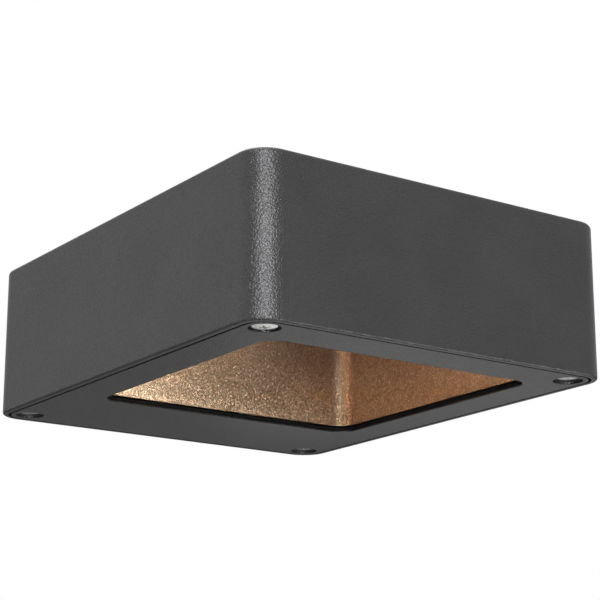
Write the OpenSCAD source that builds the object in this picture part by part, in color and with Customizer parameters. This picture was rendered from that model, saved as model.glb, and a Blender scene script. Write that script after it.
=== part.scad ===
// Square outdoor wall light that shines down through a framed window.
// X runs along the wall, Y points to the wall and Z is up.
// The origin is on the wall plane, at the middle of the wall bracket.

/* [Body] */
// Width of the body along the wall
body_w = 180; // [162:1:240]
// Reach of the body from the wall
body_d = 220; // [196:1:280]
// Height of the body
body_h = 68.5; // [60:0.5:90]
// Plan radius of the four upright corners
corner_r = 12.5; // [12:0.5:16]
// Rounding of the top edge
edge_r = 2; // [1:0.1:3]
// Rounding of the bottom edge of the rim
rim_edge_r = 1; // [0.4:0.1:1.4]
// Thickness of the rim round the bottom frame
rim_t = 2.6; // [2.2:0.1:3]
// Thickness of the cast side walls above the rim
wall_t = 5.5; // [5:0.1:6]
// Thickness of the cast top
top_t = 3.5; // [2.5:0.1:5]

/* [Back] */
// Thickness of the cast back wall
back_wall_t = 4; // [3:0.1:5]
// Width of the metal border round the pocket for the bracket and the gasket
back_border = 9; // [9:0.5:12]
// Width of the foam gasket ring
wall_gasket_w = 6; // [4:0.5:6.5]

/* [Light opening] */
// Width of the bottom frame on each side of the window
side_bar = 22.5; // [22:0.1:26]
// Corner radius of the window
window_r = 9; // [6:0.5:14]
// Width of the bottom frame in front of the window
front_bar = 24.3; // [23:0.1:28]
// Distance from the wall to the window
wall_bar = 60.7; // [60:0.1:72]

/* [Bottom frame] */
// Thickness of the bottom frame
frame_t = 5; // [4.8:0.1:5.3]
// Thickness of its lip round the window
lip_t = 0.9; // [0.8:0.1:2]
// Gap between the frame and the rim
frame_gap = 1.2; // [0.8:0.1:1.4]
// Thickness of the seal on the frame
seal_t = 1.5; // [1:0.1:2.5]
// Depth of the hollows in the back of the frame
hollow_depth = 2.4; // [1:0.1:3]

/* [Glass] */
// Thickness of the glass
glass_t = 4; // [3.8:0.1:5]
// How far the glass lies over the lip
glass_lap = 6; // [4:0.5:6]
// Thickness of the gasket under the glass
glass_gasket_t = 1.4; // [0.3:0.1:1.8]
// Thickness of the spring clips that hold the glass
clip_t = 1; // [0.8:0.1:1.4]
// Width of a spring clip
clip_w = 14; // [8:1:20]

/* [Reflector] */
// Thickness of the reflector sheet
reflector_t = 1.2; // [0.8:0.1:2]
// Room between the top of the body and the top of the reflector
lamp_room = 12; // [11:0.5:16]
// Side of the square hole in the reflector for the light
light_hole = 96; // [80:1:96]
// How far the diffuser lies over the edge of that hole
diffuser_lap = 4; // [2:0.5:5]
// Thickness of the diffuser
diffuser_t = 2; // [1:0.1:3]
// Distance between the two screws on one side of the reflector
post_spacing = 90; // [70:1:100]

/* [Light source] */
// Side of the light board
board_w = 100; // [90:1:104]
// Thickness of the light board
board_t = 1.6; // [1:0.1:2]
// Light packages along one side of the board
led_rows = 5; // [3:1:6]
// Side of one light package
led_w = 3; // [2:0.1:4]
// Height of one light package
led_h = 0.8; // [0.5:0.1:1]
// Thickness of the heat pad over the board
heat_pad_t = 0.5; // [0.3:0.1:1]
// Height of the cast block that takes the board's heat
heat_block_h = 4; // [3:0.1:5]

/* [Driver] */
// Length of the driver case
driver_length = 90; // [70:1:92]
// Depth of the driver case
driver_w = 32; // [24:1:32]
// Height of the driver case
driver_h = 20; // [16:1:22]
// Length of the ear at each end of the driver
driver_ear = 7; // [6:0.5:8]

/* [Terminal block] */
// Length of one pole of the terminal block
pole_w = 10; // [9:0.5:11]
// Depth of the terminal block
terminal_w = 20; // [18:1:22]
// Height of the terminal block
terminal_h = 16; // [14:1:18]

/* [Cable entry] */
// Diameter of the cable hole in the grommet
cable_d = 8; // [6:0.5:9]
// Diameter of the grommet hole in the back wall
grommet_hole_d = 18; // [17:0.5:20]

/* [Wall bracket] */
// Width of the wall bracket
bracket_w = 120; // [116:1:130]
// Gap between the wall bracket and the foam gasket
bracket_gap = 0.7; // [0.5:0.1:1.2]
// Sheet thickness of the wall bracket, and depth of its pocket
bracket_t = 2; // [1.6:0.1:2.5]
// Distance between the two wall screw slots
slot_spacing = 60; // [50:1:68]
// Length of a wall screw slot
slot_l = 9; // [7:0.5:12]
// Width of a wall screw slot
slot_w = 5; // [4:0.1:6]
// Distance between the two arms of the bracket
arm_spacing = 90; // [84:1:100]
// Length of an arm in front of the wall plane
arm_l = 20; // [18:0.5:22]

/* [Screws] */
// Diameter of the counterbores in the bottom frame
counterbore_d = 13; // [12:0.1:13.4]
// Head diameter of the frame screws
frame_screw_head_d = 10; // [9:0.1:11]
// Head height of the frame screws
frame_screw_head_h = 2; // [1.8:0.1:2.2]
// Shank diameter of the frame screws
frame_screw_d = 4.8; // [4:0.1:5]
// Shank length of the frame screws
frame_screw_l = 16; // [12:1:20]
// How far a frame screw head lies inside its counterbore
head_recess = 1.1; // [0.9:0.1:1.2]
// How much less the front left one does, which isn't driven right home
screw_out = 0.8; // [0:0.1:0.8]
// Thickness of the sealing cup under a frame screw head
washer_t = 0.8; // [0.5:0.1:1]

/* [Hidden] */
$fn = 48;
// Overlap that makes a cut run past a face
past = 1;
// Play between the bottom frame's parts and the body
seat_gap = 0.2;
// Play of a loose piece in its pocket
loose = 0.3;
// Gap between the glass and the reflector
reflector_gap = 0.2;
// Play of a screw in a plain hole, and depth of a thread hole past the screw's end
screw_play = 0.6;
hole_spare = 1;
// Overlap of two shapes that are one casting
weld = 0.4;

// Heights
bottom_z = -body_h / 2;
top_z = body_h / 2;
ceiling_z = top_z - top_t;
ledge_z = bottom_z + frame_t + seal_t;
glass_z = bottom_z + lip_t + glass_gasket_t;
reflector_z = glass_z + glass_t + reflector_gap;
reflector_top = ceiling_z - lamp_room;

// Plan places
middle_y = -body_d / 2;
back_in = -(bracket_t + back_wall_t);
window_w = body_w - 2 * side_bar;
window_d = body_d - front_bar - wall_bar;
window_back = -wall_bar;
window_y = window_back - window_d / 2;
corner_x = body_w / 2 - corner_r;
corner_front = -body_d + corner_r;
corners = [[corner_x, -corner_r, 0], [-corner_x, -corner_r, 90],
    [-corner_x, corner_front, 180], [corner_x, corner_front, 270]];
front_left = 2;

// Small screws: shank, thread hole, plain hole, and head diameter and height
m3_d = 2.8;
m3_hole_d = 3;
m3_clear_d = 3.4;
m3_head_d = 5.5;
m3_head_h = 1.8;
m3_low_head_d = 5;
m3_low_head_h = 1.4;
m4_d = 3.8;
m4_hole_d = 4;
m4_clear_d = 4.6;
m4_head_d = 7.6;
m4_head_h = 2.4;

// Colours
anthracite = [0.28, 0.28, 0.29];
bronze = [0.62, 0.46, 0.33];
steel = [0.75, 0.75, 0.76];
silicone = [0.08, 0.08, 0.08];
nylon = [0.93, 0.92, 0.88];

// Flat shape with rounded corners
module rounded(w, d, r) {
    square([w, d - 2 * r], center = true);
    square([w - 2 * r, d], center = true);
    for (x = [-1, 1])
        for (y = [-1, 1])
            translate([x * (w / 2 - r), y * (d / 2 - r)])
                circle(r);
}

// Flat ring between two rounded rectangles
module rounded_ring(w, d, r, width) {
    difference() {
        rounded(w, d, r);
        rounded(w - 2 * width, d - 2 * width, r - width);
    }
}

// Carries a profile round a rounded rectangle. The profile's X starts at the corner centres.
module carry_round(w, d, r) {
    for (turn = [0, 180]) {
        rotate([0, 0, turn])
            translate([w / 2 - r, d / 2 - r, 0])
                rotate([90, 0, 0])
                    linear_extrude(d - 2 * r)
                        children();
        rotate([0, 0, turn + 90])
            translate([d / 2 - r, w / 2 - r, 0])
                rotate([90, 0, 0])
                    linear_extrude(w - 2 * r)
                        children();
    }
    for (corner = [[1, 1, 0], [-1, 1, 90], [-1, -1, 180], [1, -1, 270]])
        translate([corner[0] * (w / 2 - r), corner[1] * (d / 2 - r), 0])
            rotate([0, 0, corner[2]])
                rotate_extrude(angle = 90)
                    children();
}

// Upright profile of the body's side, rounded at the top and at the bottom
module side_profile() {
    translate([0, rim_edge_r])
        square([corner_r, body_h - edge_r - rim_edge_r]);
    square([corner_r - rim_edge_r, 2 * rim_edge_r]);
    translate([0, body_h - 2 * edge_r])
        square([corner_r - edge_r, 2 * edge_r]);
    translate([corner_r - edge_r, body_h - edge_r])
        circle(edge_r);
    translate([corner_r - rim_edge_r, rim_edge_r])
        circle(rim_edge_r);
}

// Pan head screw, head down, with its head's seat at height 0
module screw(head_d, head_h, shank_d, shank_l) {
    dome = head_d * 3;
    difference() {
        union() {
            intersection() {
                translate([0, 0, -head_h])
                    cylinder(d = head_d, h = head_h);
                translate([0, 0, dome - head_h])
                    sphere(dome);
            }
            translate([0, 0, -weld])
                cylinder(d = shank_d, h = shank_l + weld);
        }
        for (turn = [45, 135])
            rotate([0, 0, turn])
                translate([-head_d * 0.23, -head_d * 0.055, -head_h - past])
                    cube([head_d * 0.46, head_d * 0.11, past + head_h * 0.55]);
    }
}

// Pocket in the back
pocket_w = body_w - 2 * back_border;
pocket_h = body_h - 2 * back_border;
gasket_inner_r = 2;
pocket_r = wall_gasket_w + gasket_inner_r;
bracket_h = pocket_h - 2 * (loose + wall_gasket_w + bracket_gap);

// Body
// Cast lugs, bosses, pads and ribs that the body holds inside
boss_r = 5.5;
boss_fill = corner_r - wall_t + past;
post_r = 3.5;
post_out = 5;
post_x = window_w / 2 + reflector_t + post_out;
post_y = post_spacing / 2;
heat_block_rim = 2;
heat_block_w = board_w + 2 * heat_block_rim;
rib_t = 2.5;
rib_h = 6;
front_rib_x = 33;
lug_w = 16;
lug_h = 6;
arm_z = -bracket_h / 2;
lug_top = arm_z - loose;
lug_short = 1;
lug_screw_end = 7;
lug_screw_y = lug_screw_end - arm_l;
shelf_w = 40;
shelf_y = -20;
shelf_z = 0.8;
shelf_t = 6.7;

module body_shell() {
    difference() {
        translate([0, middle_y, bottom_z])
            union() {
                carry_round(body_w, body_d, corner_r)
                    side_profile();
                translate([-corner_x, corner_r - body_d / 2, 0])
                    cube([2 * corner_x, body_d - 2 * corner_r, body_h]);
            }
        translate([0, (back_in - body_d + wall_t) / 2, ledge_z - past])
            linear_extrude(ceiling_z - ledge_z + past)
                rounded(body_w - 2 * wall_t, body_d - wall_t + back_in, corner_r - wall_t);
        translate([0, middle_y, bottom_z - past])
            linear_extrude(ledge_z - bottom_z + past)
                rounded(body_w - 2 * rim_t, body_d - 2 * rim_t, corner_r - rim_t);
        translate([0, past, 0])
            rotate([90, 0, 0])
                linear_extrude(bracket_t + past)
                    rounded(pocket_w, pocket_h, pocket_r);
    }
}

// Corner bosses, which take the frame screws
module corner_bosses() {
    for (corner = corners)
        translate([corner[0], corner[1], 0])
            rotate([0, 0, corner[2]]) {
                translate([0, 0, bottom_z + frame_t + seat_gap])
                    cylinder(r = boss_r, h = ceiling_z - bottom_z - frame_t - seat_gap + past);
                translate([0, 0, ledge_z])
                    cube([boss_fill, boss_fill, ceiling_z - ledge_z + past]);
            }
}

module ceiling_pads() {
    translate([-heat_block_w / 2, window_y - heat_block_w / 2, ceiling_z - heat_block_h])
        cube([heat_block_w, heat_block_w, heat_block_h + past]);
    for (x = [-1, 1])
        for (y = [-1, 1])
            translate([x * post_x, window_y + y * post_y, reflector_top])
                cylinder(r = post_r, h = lamp_room + past);
    for (x = driver_screw_x)
        translate([x - driver_ear / 2, driver_y - driver_pad_w / 2, driver_top])
            cube([driver_ear, driver_pad_w, driver_pad_h + past]);
    translate([terminal_x - terminal_l / 2, terminal_y - terminal_pad_w / 2, terminal_top])
        cube([terminal_l, terminal_pad_w, terminal_pad_h + past]);
    translate([earth_x, earth_y, earth_z])
        cylinder(r = earth_boss_r, h = earth_boss_h + past);
}

// Stiffening ribs from the heat block to the side walls and the front wall
module ceiling_ribs() {
    side_rib_l = body_w / 2 - wall_t - heat_block_w / 2 + 2 * weld;
    front_rib_l = front_bar + (window_d - heat_block_w) / 2 - wall_t + 2 * weld;
    for (turn = [0, 180])
        for (y = [-post_y, 0, post_y])
            translate([0, window_y, ceiling_z - rib_h])
                rotate([0, 0, turn])
                    translate([heat_block_w / 2 - weld, y - rib_t / 2, 0])
                        cube([side_rib_l, rib_t, rib_h + weld]);
    for (x = [-front_rib_x, 0, front_rib_x])
        translate([x - rib_t / 2, wall_t - weld - body_d, ceiling_z - rib_h])
            cube([rib_t, front_rib_l, rib_h + weld]);
}

module back_lugs() {
    for (side = [-1, 1])
        translate([side * arm_spacing / 2 - lug_w / 2, lug_short - arm_l, lug_top - lug_h])
            cube([lug_w, arm_l - lug_short + back_in + past, lug_h]);
    translate([-shelf_w / 2, shelf_y, shelf_z])
        cube([shelf_w, back_in - shelf_y + past, shelf_t]);
}

module housing_bores() {
    for (corner = corners)
        translate([corner[0], corner[1], bottom_z])
            cylinder(d = frame_screw_d + seat_gap, h = counterbore_depth + frame_screw_l + hole_spare);
    for (x = [-1, 1])
        for (y = [-1, 1])
            translate([x * post_x, window_y + y * post_y, reflector_top - past])
                cylinder(d = m3_hole_d, h = past + reflector_screw_l);
    for (x = [-1, 1])
        for (y = [-1, 1])
            translate([x * board_screw, window_y + y * board_screw, ceiling_z - heat_block_h - past])
                cylinder(d = m3_hole_d, h = past + board_screw_bite + hole_spare);
    for (x = driver_screw_x)
        translate([x, driver_y, driver_top - past])
            cylinder(d = m3_hole_d, h = past + driver_screw_bite + hole_spare);
    for (x = terminal_screw_x)
        translate([x, terminal_y, terminal_top - past])
            cylinder(d = m3_hole_d, h = past + terminal_screw_bite + hole_spare);
    translate([earth_x, earth_y, earth_z - past])
        cylinder(d = m4_hole_d, h = past + earth_screw_bite + hole_spare);
    for (side = [-1, 1])
        translate([side * arm_spacing / 2, lug_screw_y, lug_top - lug_h - past])
            cylinder(d = m4_clear_d, h = lug_h + 2 * past);
    for (side = [-1, 1])
        translate([side * clamp_screw, clamp_y, shelf_z - past])
            cylinder(d = m3_hole_d, h = past + clamp_screw_bite + hole_spare);
}

module back_openings() {
    translate([0, past, 0])
        rotate([90, 0, 0])
            cylinder(d = grommet_hole_d, h = past - back_in + past);
    translate([0, back_in, 0])
        rotate([90, 0, 0])
            cylinder(r = grommet_flange_r + loose, h = grommet_flange_t + 2 * loose);
    translate([0, back_in, 0])
        rotate([90, 0, 0])
            cylinder(d = cable_d + cable_play, h = past - shelf_y + back_in);
    for (side = [-1, 1]) {
        translate([side * arm_spacing / 2 - arm_w / 2 - arm_play, back_in - past, arm_z - arm_play])
            cube([arm_w + 2 * arm_play, back_wall_t + 2 * past, bracket_t + 2 * arm_play]);
        translate([side * arm_spacing / 2 - arm_w / 2 - arm_play, back_in - past,
            -arm_z - bracket_t - arm_play])
            cube([arm_w + 2 * arm_play, back_wall_t + 2 * past, bracket_t + 2 * arm_play + loose]);
    }
}

module housing() {
    color(anthracite)
        difference() {
            union() {
                body_shell();
                corner_bosses();
                ceiling_pads();
                ceiling_ribs();
                back_lugs();
            }
            housing_bores();
            back_openings();
        }
}

// Bottom frame
counterbore_depth = washer_t + frame_screw_head_h + head_recess;
frame_w = body_w - 2 * (rim_t + frame_gap);
frame_d = body_d - 2 * (rim_t + frame_gap);
frame_r = corner_r - rim_t - frame_gap;
// Rebate that the glass lies in
rebate_w = window_w + 2 * (glass_lap + loose);
rebate_d = window_d + 2 * (glass_lap + loose);
rebate_r = window_r + glass_lap;
// Feet of the spring clips that hold the glass
clip_foot = 8;
// Hollows in the wide wall-side bar
hollow_rim = 4;
hollow_front = window_back + glass_lap + clip_foot + hollow_rim;
hollow_back = back_in - hollow_rim;
hollow_half = corner_x - counterbore_d / 2 - hollow_rim;
hollow_rib = 4;
hollow_r = 4;
hollow_count = 3;
hollow_pitch = 2 * hollow_half / hollow_count;

module frame_hollows() {
    for (i = [0 : hollow_count - 1])
        translate([-hollow_half + (i + 0.5) * hollow_pitch, (hollow_front + hollow_back) / 2,
            bottom_z + frame_t - hollow_depth])
            linear_extrude(hollow_depth + past)
                rounded(hollow_pitch - hollow_rib, hollow_back - hollow_front, hollow_r);
}

module bottom_frame() {
    color(anthracite)
        difference() {
            translate([0, middle_y, bottom_z])
                linear_extrude(frame_t)
                    rounded(frame_w, frame_d, frame_r);
            translate([0, window_y, bottom_z - past])
                linear_extrude(frame_t + 2 * past)
                    rounded(window_w, window_d, window_r);
            translate([0, window_y, bottom_z + lip_t])
                linear_extrude(frame_t)
                    rounded(rebate_w, rebate_d, rebate_r);
            frame_hollows();
            for (corner = corners)
                translate([corner[0], corner[1], bottom_z - past]) {
                    cylinder(d = counterbore_d, h = past + counterbore_depth);
                    cylinder(d = frame_screw_d + screw_play, h = frame_t + 2 * past);
                }
            at_clips()
                translate([clip_screw, 0, bottom_z + frame_t - clip_screw_bite - hole_spare])
                    cylinder(d = m3_hole_d, h = frame_t);
        }
}

// Seal between the frame and the ledge of the body
module frame_seal() {
    color(silicone)
        translate([0, middle_y, bottom_z + frame_t])
            linear_extrude(seal_t - seat_gap)
                rounded_ring(frame_w, frame_d, frame_r, wall_t - rim_t - frame_gap);
}

module frame_screws() {
    color(steel)
        for (i = [0 : 3])
            translate([corners[i][0], corners[i][1],
                bottom_z + counterbore_depth - washer_t - (i == front_left ? screw_out : 0)])
                screw(frame_screw_head_d, frame_screw_head_h, frame_screw_d, frame_screw_l);
}

// Soft sealing cups round the heads, which also keep the frame screws from falling out
module frame_screw_washers() {
    color(silicone)
        for (corner = corners)
            translate([corner[0], corner[1], bottom_z + head_recess])
                difference() {
                    cylinder(d = counterbore_d - loose, h = frame_screw_head_h + washer_t);
                    translate([0, 0, -past])
                        cylinder(d = frame_screw_head_d + loose, h = frame_screw_head_h + past);
                    cylinder(d = frame_screw_d + seat_gap, h = frame_screw_head_h + washer_t + past);
                }
}

// Glass
glass_w = window_w + 2 * glass_lap;
glass_d = window_d + 2 * glass_lap;
gasket_setback = 0.5;

module glass_gasket() {
    color(silicone)
        translate([0, window_y, bottom_z + lip_t])
            linear_extrude(glass_gasket_t)
                rounded_ring(glass_w, glass_d, rebate_r, glass_lap - gasket_setback);
}

module glass_pane() {
    color([0.85, 0.92, 0.92, 0.35])
        translate([0, window_y, glass_z])
            linear_extrude(glass_t)
                rounded(glass_w, glass_d, rebate_r);
}

// Spring clips, two on each side of the glass, each with a foot on the frame and a tongue on the glass
clip_tongue = 2.5;
clip_heel = loose;
clip_screw = clip_heel + clip_foot / 2;
clip_spread = 35;
clip_screw_bite = 3;

// Places its children at each clip, with X 0 on the edge of the glass
module at_clips() {
    for (turn = [0, 90, 180, 270])
        for (side = [-1, 1])
            translate([0, window_y, 0])
                rotate([0, 0, turn])
                    translate([(turn % 180 == 0 ? glass_w : glass_d) / 2, side * clip_spread, 0])
                        children();
}

module glass_clips() {
    foot_z = bottom_z + frame_t;
    tongue_z = glass_z + glass_t;
    color(steel)
        at_clips()
            difference() {
                union() {
                    translate([clip_heel, -clip_w / 2, foot_z])
                        cube([clip_foot, clip_w, clip_t]);
                    translate([clip_heel, -clip_w / 2, foot_z])
                        cube([clip_t, clip_w, tongue_z - foot_z + clip_t]);
                    translate([-clip_tongue, -clip_w / 2, tongue_z])
                        cube([clip_tongue + clip_heel + clip_t, clip_w, clip_t]);
                }
                translate([clip_screw, 0, foot_z - past])
                    cylinder(d = m3_clear_d, h = clip_t + 2 * past);
            }
}

module glass_clip_screws() {
    color(steel)
        at_clips()
            translate([clip_screw, 0, bottom_z + frame_t + clip_t])
                rotate([180, 0, 0])
                    screw(m3_low_head_d, m3_low_head_h, m3_d, clip_t + clip_screw_bite);
}

// Reflector
// Deep tray of painted sheet, open below, with a square hole above for the light
reflector_ear = 10;
reflector_screw_l = 8;
light_hole_r = 5;
reflector_w = window_w + 2 * reflector_t;
reflector_d = window_d + 2 * reflector_t;
reflector_r = window_r + reflector_t;

module reflector() {
    color(bronze)
        difference() {
            union() {
                translate([0, window_y, reflector_z])
                    linear_extrude(reflector_top - reflector_z)
                        rounded(reflector_w, reflector_d, reflector_r);
                for (y = [-1, 1])
                    translate([-post_x - reflector_ear / 2, window_y + y * post_y - reflector_ear / 2,
                        reflector_top - reflector_t])
                        cube([2 * post_x + reflector_ear, reflector_ear, reflector_t]);
            }
            translate([0, window_y, reflector_z - past])
                linear_extrude(reflector_top - reflector_z - reflector_t + past)
                    rounded(window_w, window_d, window_r);
            translate([0, window_y, reflector_top - reflector_t - past])
                linear_extrude(reflector_t + 2 * past)
                    rounded(light_hole, light_hole, light_hole_r);
            for (x = [-1, 1])
                for (y = [-1, 1])
                    translate([x * post_x, window_y + y * post_y, reflector_top - reflector_t - past])
                        cylinder(d = m3_clear_d, h = reflector_t + 2 * past);
        }
}

module reflector_screws() {
    color(steel)
        for (x = [-1, 1])
            for (y = [-1, 1])
                translate([x * post_x, window_y + y * post_y, reflector_top - reflector_t])
                    screw(m3_head_d, m3_head_h, m3_d, reflector_screw_l);
}

module diffuser() {
    side = light_hole + 2 * diffuser_lap;
    color([0.95, 0.95, 0.93])
        translate([0, window_y, reflector_top])
            linear_extrude(diffuser_t)
                rounded(side, side, light_hole_r);
}

// Light source
board_z = ceiling_z - heat_block_h - heat_pad_t - board_t;
board_r = 2;
board_screw_edge = 5;
board_screw = board_w / 2 - board_screw_edge;
board_screw_bite = 3.9;
led_edge = 10;
led_step = (board_w - 2 * led_edge) / (led_rows - 1);
phosphor_depth = 0.15;

module led_board() {
    color([0.96, 0.96, 0.94])
        difference() {
            translate([0, window_y, board_z])
                linear_extrude(board_t)
                    rounded(board_w, board_w, board_r);
            for (x = [-1, 1])
                for (y = [-1, 1])
                    translate([x * board_screw, window_y + y * board_screw, board_z - past])
                        cylinder(d = m3_clear_d, h = board_t + 2 * past);
        }
}

module led_packages() {
    color([0.98, 0.86, 0.35])
        for (i = [0 : led_rows - 1])
            for (j = [0 : led_rows - 1])
                if (!((i == 0 || i == led_rows - 1) && (j == 0 || j == led_rows - 1)))
                    translate([(i - (led_rows - 1) / 2) * led_step,
                        window_y + (j - (led_rows - 1) / 2) * led_step, board_z - led_h])
                        difference() {
                            translate([-led_w / 2, -led_w / 2, 0])
                                cube([led_w, led_w, led_h]);
                            translate([0, 0, -past])
                                cylinder(d = led_w * 0.75, h = past + phosphor_depth);
                        }
}

module board_screws() {
    color(steel)
        for (x = [-1, 1])
            for (y = [-1, 1])
                translate([x * board_screw, window_y + y * board_screw, board_z])
                    screw(m3_low_head_d, m3_low_head_h, m3_d, board_t + heat_pad_t + board_screw_bite);
}

module heat_pad() {
    color([0.62, 0.68, 0.72])
        difference() {
            translate([0, window_y, board_z + board_t])
                linear_extrude(heat_pad_t)
                    rounded(board_w - board_r, board_w - board_r, board_r);
            for (x = [-1, 1])
                for (y = [-1, 1])
                    translate([x * board_screw, window_y + y * board_screw, board_z])
                        cylinder(d = m3_clear_d + screw_play, h = 2 * board_t + heat_pad_t);
        }
}

// Driver
driver_x = 14;
driver_pad_h = 5;
driver_pad_w = 12;
driver_top = ceiling_z - driver_pad_h;
driver_wall_gap = 17;
driver_y = back_in - driver_wall_gap - driver_w / 2;
driver_screw_x = [driver_x - (driver_length + driver_ear) / 2, driver_x + (driver_length + driver_ear) / 2];
driver_ear_t = 2.5;
driver_bush_r = 4;
driver_bush_l = 3;
driver_screw_bite = 5.5;
driver_r = 2;
lid_groove_w = 0.5;
driver_wire_z = driver_top - driver_h * 0.6;

module led_driver() {
    color([0.16, 0.16, 0.17])
        difference() {
            union() {
                translate([driver_x, driver_y, driver_top - driver_h])
                    linear_extrude(driver_h)
                        rounded(driver_length, driver_w, driver_r);
                translate([driver_x, driver_y, driver_top - driver_ear_t])
                    linear_extrude(driver_ear_t)
                        rounded(driver_length + 2 * driver_ear, driver_pad_w + driver_r, driver_r);
                translate([driver_x - driver_length / 2 - driver_bush_l, driver_y, driver_wire_z])
                    rotate([0, 90, 0])
                        cylinder(r = driver_bush_r, h = driver_length + 2 * driver_bush_l);
            }
            translate([driver_x, driver_y, driver_top - driver_h * 0.3])
                linear_extrude(lid_groove_w)
                    rounded_ring(driver_length + past, driver_w + past, driver_r + past / 2,
                        lid_groove_w + past / 2);
            for (x = driver_screw_x)
                translate([x, driver_y, driver_top - driver_ear_t - past])
                    cylinder(d = m3_clear_d, h = driver_ear_t + 2 * past);
        }
}

module driver_screws() {
    color(steel)
        for (x = driver_screw_x)
            translate([x, driver_y, driver_top - driver_ear_t])
                screw(m3_head_d, m3_head_h, m3_d, driver_ear_t + driver_screw_bite);
}

// Terminal block
poles = 3;
terminal_l = poles * pole_w;
terminal_gap = 4;
terminal_wall_gap = 22;
terminal_x = driver_screw_x[0] - driver_ear / 2 - terminal_gap - terminal_l / 2;
terminal_y = back_in - terminal_wall_gap - terminal_w / 2;
terminal_pad_w = 12;
terminal_pad_h = 9;
terminal_top = ceiling_z - terminal_pad_h;
terminal_wire_z = terminal_top - terminal_h * 0.45;
terminal_screw_x = [terminal_x - pole_w / 2, terminal_x + pole_w / 2];
terminal_bore_r = 2;
terminal_shell_r = 2.8;
terminal_post_edge = 5;
terminal_post = terminal_w / 2 - terminal_post_edge;
terminal_post_bore = 2.1;
terminal_screw_head_d = 3.8;
terminal_screw_head_h = 1.2;
terminal_screw_recess = 1.6;
terminal_screw_bite = 6;
insert_setback = 1;

function pole_x(i) = terminal_x + (i - 1) * pole_w;

module terminal_block() {
    color(nylon)
        difference() {
            union() {
                translate([terminal_x, terminal_y, terminal_top - terminal_h * 0.75])
                    linear_extrude(terminal_h * 0.75)
                        rounded(terminal_l, terminal_w, 1);
                for (i = [0 : poles - 1])
                    for (y = [-1, 1])
                        translate([pole_x(i), terminal_y + y * terminal_post, terminal_top - terminal_h])
                            cylinder(r = pole_w * 0.38, h = terminal_h / 2);
            }
            for (i = [0 : poles - 1]) {
                translate([pole_x(i), terminal_y + terminal_w / 2 + past, terminal_wire_z])
                    rotate([90, 0, 0])
                        cylinder(r = terminal_shell_r, h = terminal_w + 2 * past);
                for (y = [-1, 1])
                    translate([pole_x(i), terminal_y + y * terminal_post, terminal_top - terminal_h - past])
                        cylinder(r = terminal_post_bore,
                            h = past + terminal_wire_z - terminal_top + terminal_h);
            }
            for (x = terminal_screw_x)
                translate([x, terminal_y, terminal_top - terminal_h])
                    cylinder(d = m3_clear_d, h = terminal_h + past);
        }
}

// Brass tubes that join the leads, one in each pole
module terminal_inserts() {
    color([0.80, 0.65, 0.32])
        for (i = [0 : poles - 1])
            difference() {
                translate([pole_x(i), terminal_y + terminal_w / 2 - insert_setback, terminal_wire_z])
                    rotate([90, 0, 0])
                        cylinder(r = terminal_shell_r, h = terminal_w - 2 * insert_setback);
                translate([pole_x(i), terminal_y + terminal_w / 2, terminal_wire_z])
                    rotate([90, 0, 0])
                        cylinder(r = terminal_bore_r, h = terminal_w);
                for (y = [-1, 1])
                    translate([pole_x(i), terminal_y + y * terminal_post,
                        terminal_wire_z - 2 * terminal_shell_r])
                        cylinder(d = m3_hole_d, h = 2 * terminal_shell_r);
            }
}

module terminal_screws() {
    color(steel)
        for (i = [0 : poles - 1])
            for (y = [-1, 1])
                translate([pole_x(i), terminal_y + y * terminal_post,
                    terminal_top - terminal_h + terminal_screw_recess])
                    screw(terminal_screw_head_d, terminal_screw_head_h, m3_d,
                        terminal_wire_z - terminal_top + terminal_h - terminal_screw_recess - 0.55 * lead_d);
}

module terminal_mount_screws() {
    color(steel)
        for (x = terminal_screw_x)
            translate([x, terminal_y, terminal_top - terminal_h * 0.75])
                screw(m3_low_head_d, m3_low_head_h, m3_d, terminal_h * 0.75 + terminal_screw_bite);
}

// Earth point: a ring terminal under a screw in a cast boss
earth_x = terminal_x;
earth_gap = 11;
earth_y = terminal_y + terminal_w / 2 + earth_gap;
earth_boss_h = 13;
earth_z = ceiling_z - earth_boss_h;
earth_boss_r = 4.5;
ring_t = 1;
barrel_r = 1.8;
barrel_in = 5.5;
barrel_out = 11;
barrel_bore_r = 1.1;
ring_r = 4.4;
earth_screw_bite = 8;

module earth_ring() {
    color([0.80, 0.78, 0.72])
        translate([earth_x, earth_y, earth_z - ring_t])
            difference() {
                union() {
                    cylinder(r = ring_r, h = ring_t);
                    translate([0, -barrel_r, 0])
                        cube([barrel_in + 1, 2 * barrel_r, ring_t]);
                    translate([barrel_in, 0, ring_t - barrel_r])
                        rotate([0, 90, 0])
                            cylinder(r = barrel_r, h = barrel_out - barrel_in);
                }
                translate([0, 0, -past])
                    cylinder(d = m4_clear_d, h = ring_t + 2 * past);
                translate([barrel_in + 1.5, 0, ring_t - barrel_r])
                    rotate([0, 90, 0])
                        cylinder(r = barrel_bore_r, h = barrel_out);
            }
}

module earth_screw() {
    color([0.80, 0.65, 0.32])
        translate([earth_x, earth_y, earth_z - ring_t])
            screw(m4_head_d, m4_head_h, m4_d, ring_t + earth_screw_bite);
}

// Leads
lead_d = 2;
led_lead_d = 1.6;
lead_sides = 8;
lead_steps = 4;
lead_gap = 2;
driver_left = driver_x - driver_length / 2 - driver_bush_l;
driver_right = driver_x + driver_length / 2 + driver_bush_l;
terminal_front = terminal_y - terminal_w / 2;
board_back = window_y + board_w / 2;
board_inset = window_back - board_back;
pad_x = board_screw - 12;

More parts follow.
